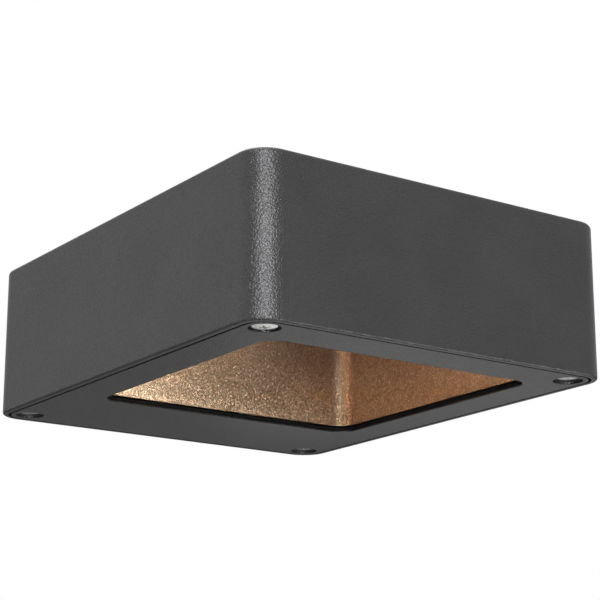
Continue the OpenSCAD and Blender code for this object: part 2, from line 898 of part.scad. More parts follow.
function unit(v) = v / norm(v);
function blend(a, b, c, d, t) = 0.5 * (2 * b + (c - a) * t + (2 * a - 5 * b + 4 * c - d) * t * t
    + (3 * b - a - 3 * c + d) * t * t * t);
function route_point(p, i, t) = blend(p[max(i - 1, 0)], p[i], p[i + 1], p[min(i + 2, len(p) - 1)], t);
function smooth(p) = concat([for (i = [0 : len(p) - 2]) for (s = [0 : lead_steps - 1])
    route_point(p, i, s / lead_steps)], [p[len(p) - 1]]);
function heading(p, i) = unit(p[min(i + 1, len(p) - 1)] - p[max(i - 1, 0)]);
function level(v, along) = unit(v - along * (v * along));
function sideways(p) = [for (i = 0, n = level([0.3, 0.2, 1], heading(p, 0)); i < len(p);
    i = i + 1, n = i < len(p) ? level(n, heading(p, i)) : n) n];

// Round lead along a route
module lead(route, d) {
    path = smooth(route);
    normals = sideways(path);
    last = len(path) - 1;
    rings = [for (i = [0 : last]) for (k = [0 : lead_sides - 1])
        path[i] + d / 2 * (cos(360 * k / lead_sides) * normals[i]
            + sin(360 * k / lead_sides) * cross(heading(path, i), normals[i]))];
    sides = [for (i = [0 : last - 1]) for (k = [0 : lead_sides - 1])
        let (n = (k + 1) % lead_sides)
        [i * lead_sides + n, i * lead_sides + k, (i + 1) * lead_sides + k, (i + 1) * lead_sides + n]];
    ends = [[for (k = [0 : lead_sides - 1]) k],
        [for (k = [lead_sides - 1 : -1 : 0]) last * lead_sides + k]];
    polyhedron(points = rings, faces = concat(sides, ends));
}

wire_z = terminal_wire_z;
clamped = terminal_front + 6.5;
barrel_z = earth_z - barrel_r;

live_route = [[pole_x(0), clamped, wire_z], [pole_x(0), terminal_front, wire_z],
    [pole_x(0), terminal_front - 3, wire_z], [pole_x(0) + 4, terminal_front - 7, wire_z - 2],
    [pole_x(1) + 5, terminal_front - 9, wire_z - 4], [pole_x(2) + 6, terminal_front - 7, wire_z - 4],
    [driver_left - 6, driver_y - 4, driver_wire_z - 1],
    [driver_left - 3, driver_y - lead_gap, driver_wire_z],
    [driver_left - 1.5, driver_y - lead_gap, driver_wire_z],
    [driver_left, driver_y - lead_gap, driver_wire_z]];
neutral_route = [[pole_x(1), clamped, wire_z], [pole_x(1), terminal_front, wire_z],
    [pole_x(1), terminal_front - 3, wire_z], [pole_x(1) + 5, terminal_front - 6, wire_z + 2],
    [pole_x(2) + 5, terminal_front - 4, wire_z + 3], [driver_left - 6, driver_y + 1, driver_wire_z + 2],
    [driver_left - 3, driver_y + lead_gap, driver_wire_z],
    [driver_left - 1.5, driver_y + lead_gap, driver_wire_z],
    [driver_left, driver_y + lead_gap, driver_wire_z]];
earth_route = [[pole_x(2), clamped, wire_z], [pole_x(2), terminal_front, wire_z],
    [pole_x(2), terminal_front - 2, wire_z],
    [pole_x(2) + 5, terminal_front - 1, terminal_top - terminal_h - 1],
    [pole_x(2) + 8, terminal_y, terminal_top - terminal_h - 3],
    [pole_x(2) + 7, terminal_y + 12, terminal_top - terminal_h],
    [earth_x + barrel_out + 6, earth_y - 1, barrel_z - 3], [earth_x + barrel_out + 3, earth_y, barrel_z],
    [earth_x + barrel_out + 1, earth_y, barrel_z], [earth_x + barrel_in + 2, earth_y, barrel_z]];

// Route of one lead from the driver to the light board
function led_route(side) = [[driver_right, driver_y + side * lead_gap, driver_wire_z],
    [driver_right + 1, driver_y + side * lead_gap, driver_wire_z],
    [driver_right + 2, driver_y + side * lead_gap, driver_wire_z],
    [driver_right + 5 + side * lead_gap, driver_y - 8, driver_wire_z + 7],
    [driver_right + side * lead_gap, window_back + 3, reflector_top + 4],
    [pad_x + 12 + side * lead_gap, window_back - 0.35 * board_inset, reflector_top + 4.5],
    [pad_x + 2 + side * lead_gap, board_back + 0.12 * board_inset, board_z - led_lead_d * 0.7],
    [pad_x + side * lead_gap, board_back - 3, board_z - 0.55 * led_lead_d],
    [pad_x + side * lead_gap, board_back - 6, board_z - 0.55 * led_lead_d]];

module live_lead() {
    color([0.42, 0.24, 0.12])
        lead(live_route, lead_d);
}

module neutral_lead() {
    color([0.12, 0.32, 0.66])
        lead(neutral_route, lead_d);
}

module earth_lead() {
    color([0.35, 0.62, 0.16])
        lead(earth_route, lead_d);
}

module led_lead_plus() {
    color([0.72, 0.10, 0.08])
        lead(led_route(-1), led_lead_d);
}

module led_lead_minus() {
    color([0.06, 0.06, 0.06])
        lead(led_route(1), led_lead_d);
}

// Cable entry
cable_play = 0.4;
grommet_lip = 2.5;
grommet_flange_r = grommet_hole_d / 2 + grommet_lip;
grommet_flange_t = 2;
grommet_outer_t = bracket_t - loose;
clamp_l = 30;
clamp_w = 10;
clamp_h = 7;
clamp_y = -14;
clamp_screw = 10;
clamp_screw_bite = 5;

module cable_grommet() {
    color(silicone)
        rotate([90, 0, 0])
            difference() {
                union() {
                    translate([0, 0, bracket_t - grommet_outer_t])
                        cylinder(r = grommet_flange_r, h = grommet_outer_t);
                    translate([0, 0, bracket_t - past])
                        cylinder(d = grommet_hole_d - seat_gap, h = back_wall_t + 2 * past);
                    translate([0, 0, -back_in])
                        cylinder(r = grommet_flange_r, h = grommet_flange_t);
                }
                translate([0, 0, -past])
                    cylinder(d = cable_d, h = 2 * past - back_in + grommet_flange_t);
            }
}

// Saddle that clamps the cable against the shelf
module cable_clamp() {
    color(nylon)
        difference() {
            translate([-clamp_l / 2, clamp_y - clamp_w / 2, -clamp_h])
                cube([clamp_l, clamp_w, clamp_h]);
            translate([0, clamp_y + clamp_w, 0])
                rotate([90, 0, 0])
                    cylinder(d = cable_d + cable_play, h = 2 * clamp_w);
            for (side = [-1, 1])
                translate([side * clamp_screw, clamp_y, -clamp_h - past])
                    cylinder(d = m3_clear_d, h = clamp_h + 2 * past);
        }
}

module cable_clamp_screws() {
    color(steel)
        for (side = [-1, 1])
            translate([side * clamp_screw, clamp_y, -clamp_h])
                screw(m3_head_d, m3_head_h, m3_d, clamp_h + shelf_z + clamp_screw_bite);
}

// Wall bracket
arm_w = 14;
arm_play = 1;
hook_play = 0.5;
hook_l = -back_in + hook_play + bracket_t;
hook_h = 4.5;
bend_inner_r = 1;
bend_r = bracket_t + bend_inner_r;
plate_r = 3;
screw_end = 3;

// Strip bent forward from the plate's edge. Its outer face is at height 0 and its back at Y 0.
module bent_strip(length) {
    translate([-arm_w / 2, 0, 0])
        rotate([90, 0, 90])
            linear_extrude(arm_w) {
                translate([-length, 0])
                    square([length - bend_r, bracket_t]);
                translate([-bracket_t, bend_r])
                    square([bracket_t, weld]);
                intersection() {
                    translate([-bend_r, 0])
                        square(bend_r);
                    translate([-bend_r, bend_r])
                        difference() {
                            circle(bend_r);
                            circle(bend_r - bracket_t);
                        }
                }
            }
}

module wall_bracket() {
    color(steel)
        difference() {
            union() {
                difference() {
                    rotate([90, 0, 0])
                        linear_extrude(bracket_t)
                            rounded(bracket_w, bracket_h, plate_r);
                    for (side = [-1, 1])
                        translate([side * arm_spacing / 2 - arm_w / 2, -bracket_t - past, arm_z - past])
                            cube([arm_w, bracket_t + 2 * past, past + bend_r]);
                    for (side = [-1, 1])
                        translate([side * arm_spacing / 2 - arm_w / 2, -bracket_t - past, -arm_z - bend_r])
                            cube([arm_w, bracket_t + 2 * past, past + bend_r]);
                }
                for (side = [-1, 1]) {
                    translate([side * arm_spacing / 2, 0, arm_z])
                        bent_strip(arm_l);
                    translate([side * arm_spacing / 2, 0, -arm_z])
                        mirror([0, 0, 1])
                            bent_strip(hook_l);
                    translate([side * arm_spacing / 2 - arm_w / 2, -hook_l, -arm_z - bracket_t])
                        cube([arm_w, bracket_t, bracket_t + hook_h]);
                }
            }
            translate([0, past, 0])
                rotate([90, 0, 0])
                    cylinder(r = grommet_flange_r + loose, h = bracket_t + 2 * past);
            for (side = [-1, 1])
                translate([side * slot_spacing / 2, past, 0])
                    rotate([90, 0, 0])
                        linear_extrude(bracket_t + 2 * past)
                            union() {
                                square([slot_l - slot_w, slot_w], center = true);
                                translate([(slot_l - slot_w) / 2, 0])
                                    circle(d = slot_w);
                                translate([-(slot_l - slot_w) / 2, 0])
                                    circle(d = slot_w);
                            }
            for (side = [-1, 1])
                translate([side * arm_spacing / 2, lug_screw_y, arm_z - past])
                    cylinder(d = m4_hole_d, h = bracket_t + 2 * past);
        }
}

module bracket_screws() {
    color(steel)
        for (side = [-1, 1])
            translate([side * arm_spacing / 2, lug_screw_y, lug_top - lug_h])
                screw(m4_head_d, m4_head_h, m4_d, lug_h + loose + bracket_t + screw_end);
}

module wall_gasket() {
    color([0.10, 0.10, 0.10])
        rotate([90, 0, 0])
            linear_extrude(bracket_t)
                rounded_ring(pocket_w - 2 * loose, pocket_h - 2 * loose, pocket_r - loose, wall_gasket_w);
}

housing();
bottom_frame();
frame_seal();
frame_screws();
frame_screw_washers();
glass_gasket();
glass_pane();
glass_clips();
glass_clip_screws();
reflector();
reflector_screws();
diffuser();
led_board();
led_packages();
board_screws();
heat_pad();
led_driver();
driver_screws();
terminal_block();
terminal_inserts();
terminal_screws();
terminal_mount_screws();
earth_ring();
earth_screw();
live_lead();
neutral_lead();
earth_lead();
led_lead_plus();
led_lead_minus();
cable_grommet();
cable_clamp();
cable_clamp_screws();
wall_bracket();
bracket_screws();
wall_gasket();
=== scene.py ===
import math

import bpy
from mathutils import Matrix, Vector


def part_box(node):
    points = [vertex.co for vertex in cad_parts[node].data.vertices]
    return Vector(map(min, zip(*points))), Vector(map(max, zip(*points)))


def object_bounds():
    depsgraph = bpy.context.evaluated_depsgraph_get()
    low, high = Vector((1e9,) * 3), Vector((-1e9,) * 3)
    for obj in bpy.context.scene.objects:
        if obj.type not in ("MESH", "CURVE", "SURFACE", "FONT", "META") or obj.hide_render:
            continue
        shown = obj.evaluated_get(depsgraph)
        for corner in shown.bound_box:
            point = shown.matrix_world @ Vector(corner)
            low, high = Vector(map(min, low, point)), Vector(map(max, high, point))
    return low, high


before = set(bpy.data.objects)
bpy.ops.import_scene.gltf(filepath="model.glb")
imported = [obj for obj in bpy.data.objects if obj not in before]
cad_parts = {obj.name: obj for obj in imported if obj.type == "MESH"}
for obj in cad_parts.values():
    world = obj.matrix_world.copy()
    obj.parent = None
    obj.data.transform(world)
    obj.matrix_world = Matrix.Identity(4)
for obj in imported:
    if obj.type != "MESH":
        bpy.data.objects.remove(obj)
cad_low, cad_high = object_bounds()

# Housing: the body of the light, open below, which carries all the other pieces.
# It is die-cast aluminium with an anthracite powder coat baked on all over.
# The baked powder leaves a fine wavy grain, with flakes in it that catch the light.
NOISE_LOW = 0.3
NOISE_HIGH = 0.7
WHOLE = (0.0, 1.0)


def colour(red, green, blue):
    """A colour for a shader, from its 0 to 255 values on a screen."""
    linear = []
    for value in (red, green, blue):
        share = value / 255
        linear.append(share / 12.92 if share <= 0.04045 else ((share + 0.055) / 1.055) ** 2.4)
    return (*linear, 1.0)


def finish(name):
    """Starts a material, and returns it with its node tree and its shader."""
    material = bpy.data.materials.new(name)
    material.use_nodes = True
    return material, material.node_tree, material.node_tree.nodes["Principled BSDF"]


def node(tree, kind, inputs=None, **settings):
    """Adds a node, with its settings, and with its inputs set or linked."""
    made = tree.nodes.new("ShaderNode" + kind)
    for name, value in settings.items():
        setattr(made, name, value)
    for name, value in (inputs or {}).items():
        if isinstance(value, bpy.types.NodeSocket):
            tree.links.new(value, made.inputs[name])
        else:
            made.inputs[name].default_value = value
    return made


def result(tree, operation, *values):
    """The result of one operation on numbers, such as MULTIPLY or LESS_THAN."""
    return node(tree, "Math", dict(enumerate(values)), operation=operation).outputs[0]


def object_place(tree):
    """The place on the object, in metres."""
    return node(tree, "TexCoord").outputs["Object"]


def grain(tree, size, detail=2.0, place=None):
    """Soft spots of about one size, in metres, from 0 to 1."""
    inputs = {"Vector": place or object_place(tree), "Scale": 1 / size, "Detail": detail}
    return node(tree, "TexNoise", inputs).outputs["Fac"]


def flakes(tree, size, share):
    """Flat cells of one size, of which a share is 1 and the rest is 0."""
    cells = node(tree, "TexVoronoi", {"Vector": object_place(tree), "Scale": 1 / size})
    pick = node(tree, "SeparateColor", {"Color": cells.outputs["Color"]})
    return result(tree, "GREATER_THAN", pick.outputs["Red"], 1 - share)


def spread(tree, value, low, high):
    """Carries soft spots to a range of their own, from the one that they mostly fill."""
    inputs = {"Value": value, "From Min": NOISE_LOW, "From Max": NOISE_HIGH, "To Min": low, "To Max": high}
    return node(tree, "MapRange", inputs).outputs["Result"]


def patches(tree, size, limits, detail=2.0):
    """Soft spots of about one size, in metres, that run between two limits."""
    return spread(tree, grain(tree, size, detail), *limits)


def blend(tree, share, one, two):
    """Mixes two colours."""
    return node(tree, "Mix", {"Factor": share, "A": one, "B": two}, data_type="RGBA").outputs["Result"]


def paint(tree, shader, shade, roughness, metallic=0.0):
    """Gives a shader its colour and its roughness, and says how metallic it is."""
    tree.links.new(shade, shader.inputs["Base Color"])
    tree.links.new(roughness, shader.inputs["Roughness"])
    shader.inputs["Metallic"].default_value = metallic


def emboss(tree, shader, height, depth):
    """Gives a shader a relief of a depth in metres."""
    relief = node(tree, "Bump", {"Height": height, "Distance": depth, "Strength": 1.0})
    tree.links.new(relief.outputs["Normal"], shader.inputs["Normal"])


def dress(piece, material):
    """Puts one material on all of a piece."""
    for slot in piece.material_slots:
        slot.material = material


def dress_all(names, material):
    """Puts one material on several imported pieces."""
    for name in names:
        dress(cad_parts[name], material)


COAT_DARK = colour(67, 67, 68)
COAT_LIGHT = colour(71, 71, 72)
COAT_FLAKE = colour(92, 92, 92)
COAT_SHEEN = (0.65, 0.65, 0.65, 1.0)
COAT_METAL = 0.85
COAT_CLOUD_SIZE = 0.03
COAT_PATCH_SIZE = 0.0012
COAT_ROUGHNESS = (0.28, 0.34)
COAT_GRAIN_SIZE = 0.0008
COAT_GRAIN_DEPTH = 0.0004
COAT_FLAKE_SIZE = 0.00025
COAT_FLAKE_SHARE = 0.04
COAT_FLAKE_STRENGTH = 0.4


def powder_coat(name):
    """Anthracite metallic powder coat with a fine grain and a few paler flakes."""
    material, tree, shader = finish(name)
    base = blend(tree, patches(tree, COAT_CLOUD_SIZE, WHOLE), COAT_DARK, COAT_LIGHT)
    specks = result(tree, "MULTIPLY", flakes(tree, COAT_FLAKE_SIZE, COAT_FLAKE_SHARE), COAT_FLAKE_STRENGTH)
    roughness = patches(tree, COAT_PATCH_SIZE, COAT_ROUGHNESS)
    paint(tree, shader, blend(tree, specks, base, COAT_FLAKE), roughness, COAT_METAL)
    shader.inputs["Specular Tint"].default_value = COAT_SHEEN
    emboss(tree, shader, grain(tree, COAT_GRAIN_SIZE), COAT_GRAIN_DEPTH)
    return material


dress_all(["housing"], powder_coat("anthracite_powder_coat"))

# Light board: a white aluminium board with light packages, pressed on the cast heat block.
# A grey silicone pad lies between them, and four small screws hold the board.
# Each package is a white case with a round dot of yellow phosphor.
DARKER = 0.86
LIGHTER = 1.08
GLOSSIER = 0.85
DULLER = 1.15
CLOUD_SIZE = 0.008
PATCH_SIZE = 0.002


def toned(shade, factor):
    """A colour made darker or lighter by a factor."""
    return tuple(min(channel * factor, 1.0) for channel in shade[:3]) + (1.0,)


def smooth_finish(name, shade, roughness, metallic=0.0, relief=0.0, relief_size=0.001):
    """A plain finish whose colour and gloss vary a little, with a fine relief."""
    material, tree, shader = finish(name)
    clouds = patches(tree, CLOUD_SIZE, WHOLE, 4.0)
    varied = blend(tree, clouds, toned(shade, DARKER), toned(shade, LIGHTER))
    uneven = patches(tree, PATCH_SIZE, (roughness * GLOSSIER, roughness * DULLER))
    paint(tree, shader, varied, uneven, metallic)
    if relief:
        emboss(tree, shader, grain(tree, relief_size, 3.0), relief)
    return material


dress_all(["heat_pad"], smooth_finish("heat_pad_silicone", colour(128, 138, 146), 0.7, relief=0.00003))

board_low, board_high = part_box("led_board")
BOARD_MIDDLE = (board_low + board_high) / 2
PACKAGE_STEP = 0.020
TRACK_HALF_WIDTH = 0.0011
TRACK_HEIGHT = 0.00003
TRACK_STRENGTH = 0.45
DOT_RADIUS = 0.0011
BOARD_WHITE = colour(236, 236, 232)
TRACK_GREY = colour(205, 207, 200)
BOARD_PATCH_SIZE = 0.003
BOARD_ROUGHNESS = (0.28, 0.38)
CASE_WHITE = colour(238, 238, 230)
PHOSPHOR_YELLOW = colour(240, 205, 70)
CASE_PATCH_SIZE = 0.0006
CASE_ROUGHNESS = (0.3, 0.5)


def board_lattice(tree):
    """The place across the board, in steps from one light package to the next."""
    moved = node(tree, "VectorMath", {0: object_place(tree), 1: tuple(BOARD_MIDDLE)}, operation="SUBTRACT")
    scaled = node(tree, "VectorMath", {0: moved.outputs[0], "Scale": 1 / PACKAGE_STEP}, operation="SCALE")
    return node(tree, "SeparateXYZ", {0: scaled.outputs[0]})


def from_nearest(tree, value):
    """How far a value is from the nearest whole number."""
    return result(tree, "ABSOLUTE", result(tree, "SUBTRACT", value, result(tree, "ROUND", value)))


def solder_mask():
    """White board lacquer, with the copper tracks between the packages showing through faintly."""
    material, tree, shader = finish("white_board_lacquer")
    across = from_nearest(tree, board_lattice(tree).outputs["X"])
    tracks = result(tree, "LESS_THAN", across, TRACK_HALF_WIDTH / PACKAGE_STEP)
    shade = blend(tree, result(tree, "MULTIPLY", tracks, TRACK_STRENGTH), BOARD_WHITE, TRACK_GREY)
    paint(tree, shader, shade, patches(tree, BOARD_PATCH_SIZE, BOARD_ROUGHNESS))
    emboss(tree, shader, tracks, TRACK_HEIGHT)
    return material


def light_package():
    """White package case, with a round dot of phosphor at its middle."""
    material, tree, shader = finish("light_package")
    lattice = board_lattice(tree)
    flat = {axis: from_nearest(tree, lattice.outputs[axis]) for axis in ("X", "Y")}
    away = node(tree, "VectorMath", {0: node(tree, "CombineXYZ", flat).outputs[0]}, operation="LENGTH")
    dot = result(tree, "LESS_THAN", away.outputs["Value"], DOT_RADIUS / PACKAGE_STEP)
    shade = blend(tree, dot, CASE_WHITE, PHOSPHOR_YELLOW)
    paint(tree, shader, shade, patches(tree, CASE_PATCH_SIZE, CASE_ROUGHNESS))
    return material


dress_all(["led_board"], solder_mask())
dress_all(["led_packages"], light_package())

# Inner screws: bright zinc-plated steel, with a cross recess in each head.
# They hold the inner pieces on posts and pads of the casting, and the body on its bracket.
# Fine scuffs break up their gloss.
SCUFF_SIZE = 0.0004
SCUFF_DEPTH = 0.000006
SCUFF_GLOSSIER = 0.75
SCUFF_DULLER = 1.4
STAIN_SIZE = 0.0025
STAIN_DARKER = 0.8


def bright_metal(name, shade, roughness):
    """Bright metal with fine scuffs."""
    material, tree, shader = finish(name)
    stained = blend(tree, grain(tree, STAIN_SIZE, 4.0), toned(shade, STAIN_DARKER), shade)
    scuffs = grain(tree, SCUFF_SIZE, 4.0)
    uneven = spread(tree, scuffs, roughness * SCUFF_GLOSSIER, roughness * SCUFF_DULLER)
    paint(tree, shader, stained, uneven, 1.0)
    emboss(tree, shader, scuffs, SCUFF_DEPTH)
    return material


INNER_SCREWS = ["board_screws", "reflector_screws", "driver_screws", "terminal_screws",
                "terminal_mount_screws", "glass_clip_screws", "cable_clamp_screws", "bracket_screws"]
dress_all(INNER_SCREWS, bright_metal("zinc_plated_steel", colour(196, 198, 200), 0.32))

# Reflector: a deep tray of pressed aluminium sheet over the window, open below.
# It is sprayed with a bronze metallic lacquer full of fine flakes.
# An opal sheet lies over the square hole in its top and spreads the light.
BRONZE_DARK = colour(158, 130, 105)
BRONZE_LIGHT = colour(175, 147, 121)
BRONZE_FLAKE = colour(206, 180, 154)
BRONZE_CLOUD_SIZE = 0.004
BRONZE_PATCH_SIZE = 0.0008
BRONZE_ROUGHNESS = (0.28, 0.36)
BRONZE_FLAKE_SIZE = 0.0005
BRONZE_FLAKE_SHARE = 0.25
BRONZE_FLAKE_TILT = 0.3
OPAL_DARK = colour(232, 232, 226)
OPAL_LIGHT = colour(243, 243, 238)
OPAL_CLOUD_SIZE = 0.01
OPAL_PATCH_SIZE = 0.004
OPAL_ROUGHNESS = (0.3, 0.38)
OPAL_MILKINESS = 0.3
OPAL_DEPTH = (0.003, 0.003, 0.0028)


def tilted_flakes(tree, size, tilt):
    """Normals of small flat flakes that lie at slightly different angles."""
    cells = node(tree, "TexVoronoi", {"Vector": object_place(tree), "Scale": 1 / size})
    lean = node(tree, "VectorMath", {0: cells.outputs["Color"], 1: (0.5, 0.5, 0.5)}, operation="SUBTRACT")
    lean = node(tree, "VectorMath", {0: lean.outputs[0], "Scale": tilt}, operation="SCALE")
    flat = node(tree, "NewGeometry").outputs["Normal"]
    tipped = node(tree, "VectorMath", {0: flat, 1: lean.outputs[0]}, operation="ADD")
    return node(tree, "VectorMath", {0: tipped.outputs[0]}, operation="NORMALIZE").outputs[0]


def bronze_lacquer():
    """Bronze lacquer full of flakes that each catch the light at their own angle."""
    material, tree, shader = finish("bronze_lacquer")
    base = blend(tree, patches(tree, BRONZE_CLOUD_SIZE, WHOLE, 3.0), BRONZE_DARK, BRONZE_LIGHT)
    specks = flakes(tree, BRONZE_FLAKE_SIZE, BRONZE_FLAKE_SHARE)
    roughness = patches(tree, BRONZE_PATCH_SIZE, BRONZE_ROUGHNESS)
    paint(tree, shader, blend(tree, specks, base, BRONZE_FLAKE), roughness, 1.0)
    tree.links.new(tilted_flakes(tree, BRONZE_FLAKE_SIZE, BRONZE_FLAKE_TILT), shader.inputs["Normal"])
    return material


def opal_sheet():
    """Milky acrylic that lets a little light through."""
    material, tree, shader = finish("opal_acrylic")
    shade = blend(tree, grain(tree, OPAL_CLOUD_SIZE), OPAL_DARK, OPAL_LIGHT)
    paint(tree, shader, shade, patches(tree, OPAL_PATCH_SIZE, OPAL_ROUGHNESS))
    shader.inputs["Subsurface Weight"].default_value = OPAL_MILKINESS
    shader.inputs["Subsurface Radius"].default_value = OPAL_DEPTH
    return material


dress_all(["reflector"], bronze_lacquer())
dress_all(["diffuser"], opal_sheet())

# Driver: the supply for the lights, in a closed case of dark moulded plastic.
# Its ears are screwed to two cast pads, and its leads come out of short bushes.
# The case has a fine spark-eroded grain from its mould.
driver_case = smooth_finish("driver_case_plastic", colour(44, 45, 48), 0.55,
                            relief=0.00005, relief_size=0.0006)
dress_all(["led_driver"], driver_case)

# Terminal block: three poles in pale nylon, where the supply cable's wires are connected.
# Brass tubes inside it hold the wires under small screws.
# The earth wire goes on to a tinned ring under a brass screw in the casting.
nylon = smooth_finish("pale_nylon", colour(224, 220, 205), 0.45, relief=0.00002)
dress_all(["terminal_block"], nylon)
dress_all(["terminal_inserts", "earth_screw"], bright_metal("brass", colour(214, 178, 98), 0.28))
dress_all(["earth_ring"], bright_metal("tinned_copper", colour(205, 198, 184), 0.34))

# Leads: stranded copper in coloured insulation, from the terminals to the driver and on to the board.
# The supply leads are brown, blue and green, and the light board's are red and black.
# They are laid by hand in soft bends.
LEAD_COLOURS = {
    "live_lead": colour(98, 60, 36),
    "neutral_lead": colour(38, 84, 158),
    "earth_lead": colour(76, 142, 52),
    "led_lead_plus": colour(176, 34, 28),
    "led_lead_minus": colour(24, 24, 25),
}
for lead, shade in LEAD_COLOURS.items():
    dress_all([lead], smooth_finish(lead + "_insulation", shade, 0.38, relief=0.00002))

# Cable entry: a black rubber grommet in the back wall, and a nylon saddle that clamps the cable.
# The grommet is pressed into its hole, with a flange on each side of the wall.
# Two screws draw the saddle up to a cast shelf.
rubber = smooth_finish("black_rubber", colour(24, 24, 25), 0.62, relief=0.00004, relief_size=0.0005)
dress_all(["cable_grommet"], rubber)
dress_all(["cable_clamp"], nylon)

# Wall bracket: bent from zinc-plated steel sheet and screwed to the wall through two slots.
# The body hangs on its hooks and two screws hold it to the arms below.
# A ring of black foam round it keeps the rain out.
ZINC_DULL = colour(158, 162, 166)
ZINC_BRIGHT = colour(200, 203, 205)
ZINC_BLOOM_SIZE = 0.006
ZINC_ROUGHNESS = (0.3, 0.5)
ROLLING_SIZE = 0.0006
ROLLING_STRETCH = 0.06
ROLLING_DEPTH = 0.00001
FOAM_DARK = colour(14, 14, 15)
FOAM_LIGHT = colour(44, 44, 46)
FOAM_ROUGHNESS = (0.85, 0.95)
FOAM_CELL_SIZE = 0.0008
FOAM_CELL_DEPTH = 0.0002


def rolled_sheet():
    """Zinc plate on rolled sheet, with faint lines along the rolling."""
    material, tree, shader = finish("zinc_plated_sheet")
    stretched = node(tree, "Mapping", {"Vector": object_place(tree), "Scale": (ROLLING_STRETCH, 1.0, 1.0)})
    lines = grain(tree, ROLLING_SIZE, 4.0, stretched.outputs["Vector"])
    bloom = blend(tree, grain(tree, ZINC_BLOOM_SIZE, 5.0), ZINC_DULL, ZINC_BRIGHT)
    paint(tree, shader, bloom, spread(tree, lines, *ZINC_ROUGHNESS), 1.0)
    emboss(tree, shader, lines, ROLLING_DEPTH)
    return material


def foam_rubber():
    """Black closed-cell foam with open cells at its cut faces."""
    material, tree, shader = finish("black_foam")
    voronoi = node(tree, "TexVoronoi", {"Vector": object_place(tree), "Scale": 1 / FOAM_CELL_SIZE})
    cells = voronoi.outputs["Distance"]
    paint(tree, shader, blend(tree, cells, FOAM_DARK, FOAM_LIGHT), spread(tree, cells, *FOAM_ROUGHNESS))
    emboss(tree, shader, cells, FOAM_CELL_DEPTH)
    return material


dress_all(["wall_bracket"], rolled_sheet())
dress_all(["wall_gasket"], foam_rubber())

# Bottom frame: the cast cover inside the rim, with the window, in the same coat as the body.
# A black silicone seal on it closes the joint with the body.
# The window's edge is painted black from just above the underside: painted shade on the lip's wall, dull
# and without the coat's metal.
frame_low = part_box("bottom_frame")[0]
glass_low, glass_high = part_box("glass_pane")
GLASS_LAP = 0.006
# The black on the window's edge is painted shade: where it starts, how far it laps and how dull it is.
SHADE_LAP = 0.001
SHADE_START = 0.0006
PAINTED_SHADE_BLACK = colour(16, 16, 17)
SHADE_DULLER = 0.5
SHADE_GLOSS = 0.05
PLAIN_GLOSS = 0.5


def inside(tree, place, low, high):
    """1 where a value lies between two limits, and 0 elsewhere."""
    over = result(tree, "GREATER_THAN", place, low)
    under = result(tree, "LESS_THAN", place, high)
    return result(tree, "MULTIPLY", over, under)


def frame_coat_with_painted_shade():
    """The body's coat, with painted shade in black on the window's edge."""
    material = powder_coat("anthracite_coat_with_painted_shade")
    tree = material.node_tree
    shader = tree.nodes["Principled BSDF"]
    place = node(tree, "SeparateXYZ", {0: object_place(tree)})
    inset = GLASS_LAP - SHADE_LAP
    # Painted shade: 1 on the lip's wall round the window, above the underside, and 0 elsewhere.
    painted_shade = result(tree, "GREATER_THAN", place.outputs["Z"], frame_low.z + SHADE_START)
    for axis, low, high in (("X", glass_low.x, glass_high.x), ("Y", glass_low.y, glass_high.y)):
        painted_shade = result(tree, "MULTIPLY", painted_shade, inside(tree, place.outputs[axis], low + inset, high - inset))
    coat = shader.inputs["Base Color"].links[0].from_socket
    rough = shader.inputs["Roughness"].links[0].from_socket
    duller = result(tree, "ADD", rough, result(tree, "MULTIPLY", painted_shade, SHADE_DULLER))
    paint(tree, shader, blend(tree, painted_shade, coat, PAINTED_SHADE_BLACK), duller)
    # The painted shade loses the coat's metal and most of its gloss, so it shows no highlight.
    changes = {"Metallic": (COAT_METAL, 0.0), "Specular IOR Level": (PLAIN_GLOSS, SHADE_GLOSS)}
    for name, (plain, shaded) in changes.items():
        mixed = node(tree, "MapRange", {"Value": painted_shade, "To Min": plain, "To Max": shaded})
        tree.links.new(mixed.outputs["Result"], shader.inputs[name])
    return material


dress_all(["bottom_frame"], frame_coat_with_painted_shade())
silicone = smooth_finish("black_silicone", colour(20, 20, 21), 0.5, relief=0.00003)
dress_all(["frame_seal"], silicone)

# Glass: a clear toughened pane in a rebate of the frame, on a matt black gasket.
# Eight spring clips of blackened steel press it down, each held by a screw.
# An anti-reflection coat leaves it only a trace of gloss, and light passes it unhindered.
GLASS_BEND = 1.5
GLASS_GLOSS = 0.012
GLASS_GLOSS_ROUGHNESS = 0.03
GLASS_GREENER = colour(248, 251, 249)
GLASS_CLEARER = colour(251, 252, 251)
GLASS_CLOUD_SIZE = 0.05
GASKET_GLOSS = 0.1


def clear_glass():
    """Clear glass that bends what is seen through it, with a faint green tint."""
    material, tree, shader = finish("clear_glass")
    tint = blend(tree, grain(tree, GLASS_CLOUD_SIZE), GLASS_GREENER, GLASS_CLEARER)
    bent = node(tree, "BsdfRefraction", {"Color": tint, "Roughness": 0.0, "IOR": GLASS_BEND})
    gloss = node(tree, "BsdfGlossy", {"Roughness": GLASS_GLOSS_ROUGHNESS})
    mixed = node(tree, "MixShader", {0: GLASS_GLOSS, 1: bent.outputs[0], 2: gloss.outputs[0]})
    tree.links.new(mixed.outputs[0], tree.nodes["Material Output"].inputs["Surface"])
    tree.nodes.remove(shader)
    return material


glass_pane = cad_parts["glass_pane"]
dress(glass_pane, clear_glass())
glass_pane.visible_shadow = False
glass_pane.visible_diffuse = False
glass_pane.visible_glossy = False
gasket_silicone = smooth_finish("matt_black_silicone", colour(16, 16, 17), 0.85, relief=0.00003)
gasket_silicone.node_tree.nodes["Principled BSDF"].inputs["Specular IOR Level"].default_value = GASKET_GLOSS
dress_all(["glass_gasket"], gasket_silicone)
dress_all(["glass_clips"], smooth_finish("blackened_spring_steel", colour(30, 30, 32), 0.4, metallic=0.6))

